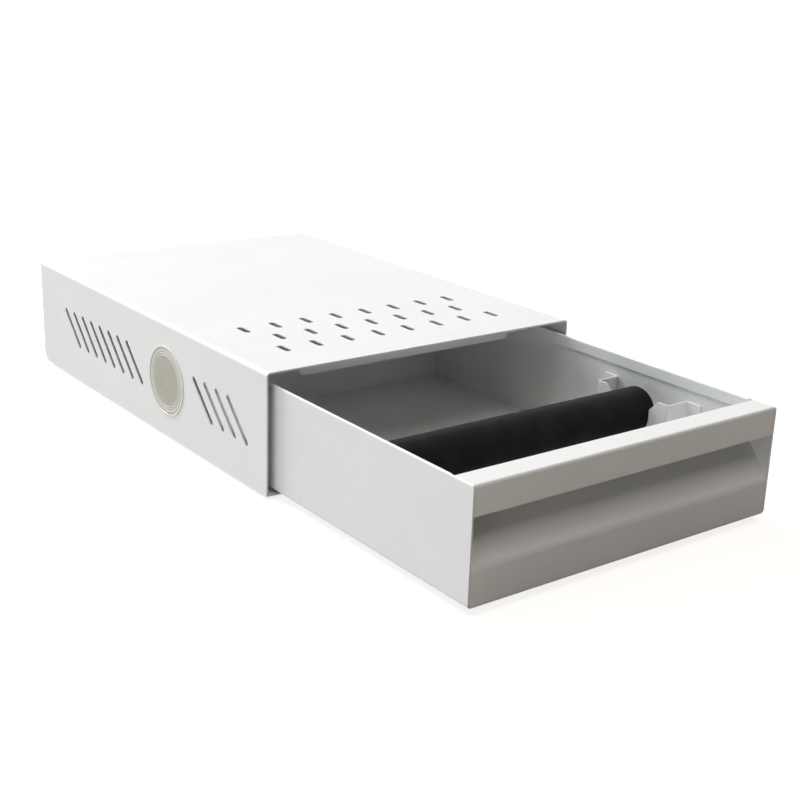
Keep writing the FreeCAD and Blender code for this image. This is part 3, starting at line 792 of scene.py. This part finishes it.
@dataclass
class CaseAssembly(SubAssembly):
    """The slotted case with its stop, badges, nylon strips, bumpers and feet.

    The sole's and the bumper tip's profiles are pairs of radius and depth, in millimetres.
    """

    panel_spread: float = 0.3 * MM
    badge_radius: float = 26.0 * MM
    plate_height: float = 0.4 * MM
    rim_width: float = 1.6 * MM
    rim_height: float = 0.7 * MM
    rim_round: float = 0.2 * MM
    rim_foot: float = 0.1 * MM
    ring_radii: tuple[float, ...] = (20.6 * MM, 18.9 * MM)
    ring_foot: float = 0.4 * MM
    ring_crest: float = 0.25 * MM
    ring_height: float = 0.14 * MM
    ring_polish: float = 0.3 * MM
    bead_circle: float = 22.5 * MM
    bead_radius: float = 0.55 * MM
    bead_rise: float = 0.4
    bead_count: int = 84
    foot_roughness: float = 0.5
    foot_radius: float = 8.0 * MM
    sole_inset: float = 1.0 * MM
    sole_round: float = 0.4 * MM
    sole_profile: tuple[Point, ...] = (
        (0.0, 0.6), (2.0, 0.6), (2.4, 0.0), (4.0, 0.0), (4.3, 0.5), (5.0, 0.5), (5.3, 0.0),
    )
    bumper_radius: float = 6.0 * MM
    bumper_round: float = 1.5 * MM
    bumper_tip: tuple[Point, ...] = ((3.0, 0.0), (2.0, 0.5), (0.0, 0.7))
    stop_gauge: float = 1.2 * MM
    weld_radius: float = 2.4 * MM
    weld_height: float = 0.12 * MM
    weld_count: int = 6
    weld_inset: float = 15.0 * MM
    weld_setback: float = 9.0 * MM

    def build(self) -> None:
        """Make every piece of the case."""
        coat = PowderCoat("case_coat").material()
        spread = Vector((self.panel_spread, 0.0, 0.0))
        self.skin(Body.CASE, Slot.CASE_COAT, coat, "case_shell", "drawer_stop")
        self.skin(Body.CASE, Slot.CASE_COAT, coat, "back_panel", spread=spread)
        self.stop_welds(coat)
        nylon = Nylon("nylon").material()
        self.skin(Body.CASE, Slot.NYLON, nylon, "glide_left", "glide_right", "guide_left", "guide_right")
        rubber = BlackRubber("foot_rubber", roughness=self.foot_roughness).material()
        for end in ("front", "rear"):
            for side in ("left", "right"):
                self.foot(f"foot_{end}_{side}", rubber)
        for side, outward in SIDES:
            self.bumper(f"bumper_{side}", rubber)
            self.badge(f"badge_{side}", outward)

    def stop_welds(self, coat: bpy.types.Material) -> None:
        """Weld marks under the stop's upper leg.

        Args:
            coat: The case's powder coat.
        """
        low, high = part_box("drawer_stop")
        pitch = (high[0] - low[0] - 2 * self.weld_inset) / (self.weld_count - 1)
        unit = self.weld_spot(self.weld_radius, self.weld_height)
        unit.data.transform(Matrix.Rotation(math.pi, 4, "X"))
        piece = self.repeater.row(
            "stop_welds",
            unit,
            coat,
            Count=self.weld_count,
            Start=(low[0] + self.weld_inset, low[1] + self.weld_setback, high[2] - self.stop_gauge),
            Step=(pitch, 0.0, 0.0),
        )
        settle(piece, Body.CASE, Slot.CASE_COAT)

    def foot(self, node: str, rubber: bpy.types.Material) -> None:
        """Rubber foot with a hollow middle and a groove in its sole.

        Args:
            node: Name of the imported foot.
            rubber: Its material.
        """
        low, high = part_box(node)
        height = high[2] - low[2]
        corner = (self.foot_radius - self.sole_inset - self.sole_round, self.sole_round)
        profile = [
            *((across * MM, depth * MM) for across, depth in self.sole_profile),
            *arc(corner, self.sole_round, -90.0, -15.0),
            (self.foot_radius, height),
            (0.0, height),
        ]
        base = middle_of(node)
        base.z = low[2]
        piece = turned(f"{node}_pad", profile, base, UP, steps=48)
        dress(piece, rubber)
        settle(piece, Body.CASE, Slot.FOOT, node)

    def bumper(self, node: str, rubber: bpy.types.Material) -> None:
        """Rubber button on the back panel with a dished tip.

        Args:
            node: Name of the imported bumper.
            rubber: Its material.
        """
        low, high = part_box(node)
        length = high[1] - low[1]
        corner = (self.bumper_radius - self.bumper_round, length - self.bumper_round)
        profile = [
            (0.0, 0.0),
            (self.bumper_radius, 0.0),
            *arc(corner, self.bumper_round, 0.0, 90.0, steps=5),
            *((across * MM, length - depth * MM) for across, depth in self.bumper_tip),
        ]
        base = middle_of(node)
        base.y = high[1]
        piece = turned(f"{node}_button", profile, base, Vector((0.0, -1.0, 0.0)), steps=48)
        dress(piece, rubber)
        settle(piece, Body.CASE, Slot.FOOT, node)

    def badge(self, node: str, outward: Vector) -> None:
        """Plain round badge: a raised rim, a circle of beads and two fine rings.

        Args:
            node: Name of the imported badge.
            outward: Direction that the badge faces.
        """
        centre = middle_of(node)
        centre.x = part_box("case_shell")[1][0] * outward.x
        plate, rim, rounding = self.plate_height, self.rim_height, self.rim_round
        inner = self.badge_radius - self.rim_width
        bands = [(inner, 2 * self.badge_radius)]
        bands += [(radius - self.ring_polish, radius + self.ring_polish) for radius in self.ring_radii]
        bands.append((self.bead_circle - self.bead_radius, self.bead_circle + self.bead_radius))
        finish = BadgeMetal(f"{node}_metal").material(centre, bands)
        profile = [
            (0.0, 0.0),
            (self.badge_radius, 0.0),
            *arc((self.badge_radius - rounding, rim - rounding), rounding, 0.0, 90.0),
            *arc((inner + rounding, rim - rounding), rounding, 90.0, 160.0),
            (inner - self.rim_foot, plate),
        ]
        for radius in self.ring_radii:
            profile += [
                (radius + self.ring_foot, plate),
                (radius + self.ring_crest, plate + self.ring_height),
                (radius - self.ring_crest, plate + self.ring_height),
                (radius - self.ring_foot, plate),
            ]
        profile.append((0.0, plate))
        piece = turned(f"{node}_disc", profile, centre, outward, steps=120)
        dress(piece, finish)
        settle(piece, Body.CASE, Slot.BADGE, node)
        self.beads(node, centre + plate * outward, outward, finish)

    def beads(self, node: str, centre: Vector, outward: Vector, finish: bpy.types.Material) -> None:
        """Circle of low beads on a badge's plate.

        Args:
            node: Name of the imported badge.
            centre: Middle of the plate's face.
            outward: Direction that the badge faces.
            finish: The badge's material.
        """
        dome = arc((0.0, 0.0), self.bead_radius, 0.0, 60.0, steps=2)
        bead = turned("bead", [(0.0, 0.0), *dome, (0.0, self.bead_radius)], Vector(), UP, steps=8)
        flat = Matrix.Scale(self.bead_rise, 4, UP)
        upright = outward.to_track_quat("Z", "Y").to_matrix().to_4x4()
        bead.data.transform(Matrix.Translation((0.0, self.bead_circle, 0.0)) @ upright @ flat)
        piece = self.repeater.row(
            f"{node}_beads",
            bead,
            finish,
            Count=self.bead_count,
            Start=tuple(centre),
            Step=(0.0, 0.0, 0.0),
            Turn=(2 * math.pi / self.bead_count, 0.0, 0.0),
        )
        settle(piece, Body.CASE, Slot.BADGE)


@dataclass
class DrawerAssembly(SubAssembly):
    """The pull-out drawer with its folded front and the two cradles."""

    seam_spread: float = 0.5 * MM
    cradle_gauge: float = 1.0 * MM
    weld_radius: float = 2.2 * MM
    weld_height: float = 0.1 * MM
    weld_count: int = 3
    weld_inset: float = 8.0 * MM
    weld_setback: float = 5.0 * MM

    def build(self) -> None:
        """Make every piece of the drawer."""
        coat = PowderCoat("drawer_coat").material()
        spread = Vector((self.seam_spread, 0.0, self.seam_spread))
        self.skin(Body.DRAWER, Slot.DRAWER_COAT, coat, "drawer_tray", "cradle_left", "cradle_right")
        self.skin(Body.DRAWER, Slot.DRAWER_COAT, coat, "drawer_front", "drawer_back", spread=spread)
        for side, outward in SIDES:
            self.cradle_welds(f"cradle_{side}", -outward.x, coat)

    def cradle_welds(self, node: str, inward: float, coat: bpy.types.Material) -> None:
        """Weld marks on a cradle's front and rear flange.

        Args:
            node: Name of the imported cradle.
            inward: One where the drawer's inside lies to the right of the cradle, minus one to the left.
            coat: The drawer's powder coat.
        """
        low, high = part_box(node)
        wall = low[0] if inward > 0.0 else high[0]
        pitch = (high[2] - low[2] - 2 * self.weld_inset) / (self.weld_count - 1)
        for end, along in (("front", low[1] + self.weld_setback), ("rear", high[1] - self.weld_setback)):
            unit = self.weld_spot(self.weld_radius, self.weld_height)
            unit.data.transform(Matrix.Rotation(inward * math.pi / 2, 4, "Y"))
            piece = self.repeater.row(
                f"{node}_{end}_welds",
                unit,
                coat,
                Count=self.weld_count,
                Start=(wall + inward * self.cradle_gauge, along, low[2] + self.weld_inset),
                Step=(0.0, 0.0, pitch),
            )
            settle(piece, Body.DRAWER, Slot.DRAWER_COAT)


@dataclass
class BarAssembly(SubAssembly):
    """The knock bar: rubber sleeve, steel tube and ribbed end plugs."""

    bore: float = 9.05 * MM
    bore_lip: float = 0.4 * MM
    end_round: float = 3.0 * MM
    cap_radius: float = 9.0 * MM
    cap_height: float = 1.5 * MM
    cap_round: float = 0.7 * MM
    cap_rim: float = 1.8 * MM
    stem_radius: float = 7.45 * MM
    stem_length: float = 14.0 * MM
    stem_chamfer: float = 0.6 * MM
    dish_depth: float = 0.7 * MM
    dish_slope: float = 0.3 * MM
    boss_radius: float = 2.1 * MM
    boss_drop: float = 0.1 * MM
    rib_count: int = 10
    rib_start: float = 1.8 * MM
    rib_width: float = 0.6 * MM
    rib_drop: float = 0.15 * MM
    rib_edge: float = 0.12 * MM

    def build(self) -> None:
        """Make every piece of the bar."""
        self.sleeve()
        steel = DrawnSteel("core_steel").material()
        self.skin(Body.BAR, Slot.STEEL, steel, "bar_core")
        plastic = MouldedPlastic("plug_plastic").material()
        for side, outward in SIDES:
            self.plug(f"bar_plug_{side}", outward, plastic)

    def sleeve(self) -> None:
        """Moulded rubber sleeve with rounded ends."""
        low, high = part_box("bar_sleeve")
        length = high[0] - low[0]
        radius = (high[2] - low[2]) / 2
        edge, lip = self.end_round, self.bore_lip
        profile = [
            *arc((radius - edge, edge), edge, -90.0, 0.0, steps=8),
            *arc((radius - edge, length - edge), edge, 0.0, 90.0, steps=8),
            (self.bore + lip, length),
            (self.bore, length - lip),
            (self.bore, lip),
            (self.bore + lip, 0.0),
        ]
        base = middle_of("bar_sleeve")
        base.x = low[0]
        piece = turned("bar_sleeve_moulding", profile, base, Vector((1.0, 0.0, 0.0)), steps=96)
        dress(piece, BlackRubber("bar_rubber").material())
        settle(piece, Body.BAR, Slot.BAR, "bar_sleeve")

    def plug(self, node: str, outward: Vector, plastic: bpy.types.Material) -> None:
        """End plug with a dished cap and ribs across the dish.

        Args:
            node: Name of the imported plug.
            outward: Direction that its cap faces.
            plastic: Its material.
        """
        low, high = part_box(node)
        base = middle_of(node)
        base.x = high[0] if outward.x > 0.0 else low[0]
        edge, foot = self.cap_round, -self.stem_length - self.cap_height
        dish = self.cap_radius - self.cap_rim
        profile = [
            (0.0, foot),
            (self.stem_radius - self.stem_chamfer, foot),
            (self.stem_radius, foot + self.stem_chamfer),
            (self.stem_radius, -self.cap_height),
            (self.cap_radius, -self.cap_height),
            *arc((self.cap_radius - edge, -edge), edge, 0.0, 90.0),
            (dish, 0.0),
            (dish - self.dish_slope, -self.dish_depth),
            (self.boss_radius + self.dish_slope, -self.dish_depth),
            (self.boss_radius, -self.boss_drop),
            (0.0, -self.boss_drop),
        ]
        piece = turned(f"{node}_moulding", profile, base, outward, steps=64)
        dress(piece, plastic)
        settle(piece, Body.BAR, Slot.PLUG, node)
        self.ribs(node, outward, base, dish, plastic)

    def ribs(
        self, node: str, outward: Vector, base: Vector, dish: float, plastic: bpy.types.Material
    ) -> None:
        """Ribs that run from a plug's boss to the edge of its dish.

        Args:
            node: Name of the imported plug.
            outward: Direction that its cap faces.
            base: Middle of the cap's face.
            dish: Radius of the dish.
            plastic: The plug's material.
        """
        work = bmesh.new()
        bmesh.ops.create_cube(work, size=1.0)
        size = Vector((self.dish_depth, dish - self.rib_start, self.rib_width))
        bmesh.ops.scale(work, vec=size, verts=work.verts)
        depth = 0.5 * self.dish_depth + self.rib_drop
        middle = Vector((-depth * outward.x, (dish + self.rib_start) / 2, 0.0))
        bmesh.ops.translate(work, vec=middle, verts=work.verts)
        bmesh.ops.bevel(work, geom=work.edges, offset=self.rib_edge, segments=1, affect="EDGES")
        mesh = bpy.data.meshes.new("rib")
        work.to_mesh(mesh)
        work.free()
        piece = self.repeater.row(
            f"{node}_ribs",
            link(bpy.data.objects.new("rib", mesh)),
            plastic,
            Count=self.rib_count,
            Start=tuple(base),
            Step=(0.0, 0.0, 0.0),
            Turn=(2 * math.pi / self.rib_count, 0.0, 0.0),
        )
        settle(piece, Body.BAR, Slot.PLUG)


@dataclass
class Camera:
    """The camera of the photograph, solved from its straight edges."""

    place: Vector = field(default_factory=lambda: Vector((-0.5531, -0.7768, 0.3434)))
    azimuth: float = math.radians(-37.283)
    elevation: float = math.radians(18.504)
    roll: float = math.radians(2.0)
    focal_pixels: float = 1345.57
    frame_pixels: float = 800.0
    sensor: float = 36.0

    def build(self) -> None:
        """Make the camera and use it."""
        back = Vector((
            math.sin(self.azimuth) * math.cos(self.elevation),
            -math.cos(self.azimuth) * math.cos(self.elevation),
            math.sin(self.elevation),
        ))
        right = Vector((math.cos(self.azimuth), math.sin(self.azimuth), 0.0))
        up = back.cross(right)
        tilted_right = math.cos(self.roll) * right + math.sin(self.roll) * up
        tilted_up = -math.sin(self.roll) * right + math.cos(self.roll) * up
        data = bpy.data.cameras.new("camera")
        data.sensor_width = self.sensor
        data.lens = self.focal_pixels / self.frame_pixels * self.sensor
        camera = link(bpy.data.objects.new("camera", data))
        turn = Matrix((tilted_right, tilted_up, back)).transposed()
        camera.matrix_world = Matrix.Translation(self.place) @ turn.to_4x4()
        bpy.context.scene.camera = camera


@dataclass(frozen=True)
class Lamp:
    """A soft lamp that faces the object, square unless it has a height of its own."""

    name: str
    place: tuple[float, float, float]
    width: float
    energy: float
    colour: tuple[float, float, float]
    height: float = 0.0

    def build(self, aim: Vector) -> None:
        """Hang the lamp.

        Args:
            aim: The point that it faces.
        """
        data = bpy.data.lights.new(self.name, "AREA")
        data.shape = "RECTANGLE"
        data.size = self.width
        data.size_y = self.height or self.width
        data.energy = self.energy
        data.color = self.colour
        lamp = link(bpy.data.objects.new(self.name, data))
        lamp.location = self.place
        lamp.rotation_euler = (aim - lamp.location).to_track_quat("-Z", "Y").to_euler()
        lamp.visible_camera = False


@dataclass
class Studio:
    """Pale floor, large soft lamps above and behind, low light from the left and a soft lamp in front."""

    floor_size: float = 60.0
    ambient: float = 0.008
    white: Colour = rgba(1.0, 1.0, 1.0)
    aim_height: float = 0.05
    lamps: tuple[Lamp, ...] = (
        Lamp("overhead", (-0.8, 0.1, 2.3), 1.6, 16.0, (0.95, 1.0, 1.0)),
        Lamp("behind", (-1.1, 5.0, 4.1), 3.9, 485.0, (0.985, 1.0, 1.0)),
        Lamp("strip", (-1.1, 0.0, 0.1), 1.8, 5.5, (0.87, 0.94, 1.0), height=0.18),
        Lamp("left", (-2.0, 0.3, 1.3), 1.2, 0.6, (0.97, 0.985, 1.0)),
        Lamp("front", (0.1, -1.1, 2.5), 1.4, 19.0, (1.0, 0.92, 0.84)),
    )

    def build(self) -> None:
        """Make the floor, the lamps and the world."""
        half = self.floor_size / 2
        mesh = bpy.data.meshes.new("floor")
        corners = [(-half, -half, 0.0), (half, -half, 0.0), (half, half, 0.0), (-half, half, 0.0)]
        mesh.from_pydata(corners, [], [(0, 1, 2, 3)])
        floor = link(bpy.data.objects.new("floor", mesh))
        dress(floor, PaleFloor("pale_floor").material("case_shell"))
        for lamp in self.lamps:
            lamp.build(Vector((0.0, 0.0, self.aim_height)))
        self.surround()
        bpy.context.scene.view_settings.view_transform = "Standard"

    def surround(self) -> None:
        """A world that gives a little even light and shows white behind the object."""
        world = bpy.data.worlds.new("world")
        bpy.context.scene.world = world
        world.use_nodes = True
        nodes, links = world.node_tree.nodes, world.node_tree.links
        dim = nodes["Background"]
        bright = nodes.new("ShaderNodeBackground")
        for light, strength in ((dim, self.ambient), (bright, 1.0)):
            light.inputs["Color"].default_value = self.white
            light.inputs["Strength"].default_value = strength
        mix = nodes.new("ShaderNodeMixShader")
        links.new(shown_rays(world.node_tree), mix.inputs["Fac"])
        links.new(dim.outputs[0], mix.inputs[1])
        links.new(bright.outputs[0], mix.inputs[2])
        links.new(mix.outputs[0], nodes["World Output"].inputs["Surface"])


def main() -> None:
    """Build the sub-assemblies in order."""
    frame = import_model()
    Camera().build()
    Studio().build()
    repeater = Repeater()
    for assembly in (CaseAssembly, DrawerAssembly, BarAssembly):
        assembly(frame["nodes"], repeater).build()


if __name__ == "__main__":
    logging.basicConfig(level=logging.INFO)
    main()
